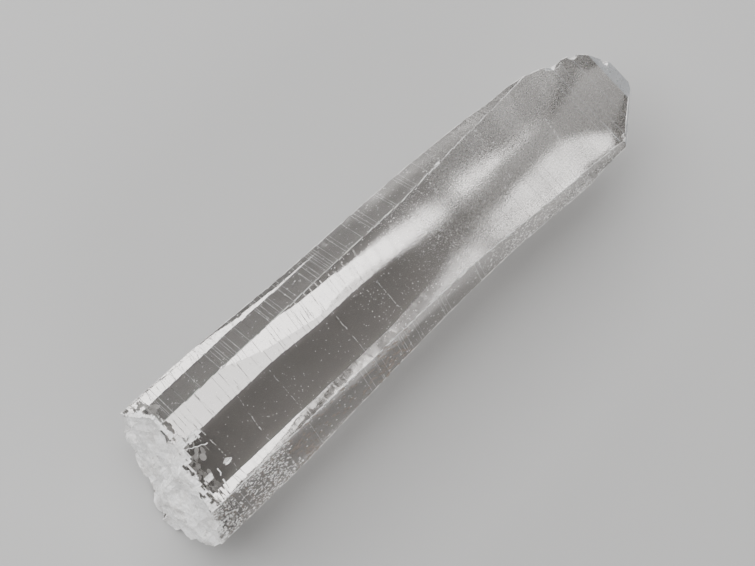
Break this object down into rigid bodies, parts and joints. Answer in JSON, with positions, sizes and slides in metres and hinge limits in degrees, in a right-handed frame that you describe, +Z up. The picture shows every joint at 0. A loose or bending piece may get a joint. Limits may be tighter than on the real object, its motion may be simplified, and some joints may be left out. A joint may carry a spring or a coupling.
{
  "type": "lemurian quartz crystal",
  "caption": "Clear six-sided quartz point lying on a long side face, tapering to a bevelled tip, with ladder-like growth ledges and a rough broken base.",
  "frame": {"origin": "on the surface that the crystal rests on, below the middle of its bounding box", "axes": "+X along the crystal's long axis, from the broken base to the tip; +Z up, away from the long face that it rests on"},
  "size_m": [0.0964, 0.0242, 0.022],
  "materials": {
    "quartz": "clear natural quartz: glossy and see-through near the base, finely frosted towards the tip, white and rough on the broken base"
  },
  "bodies": {
    "root": {"crystal": "quartz"}
  },
  "joints": []
}
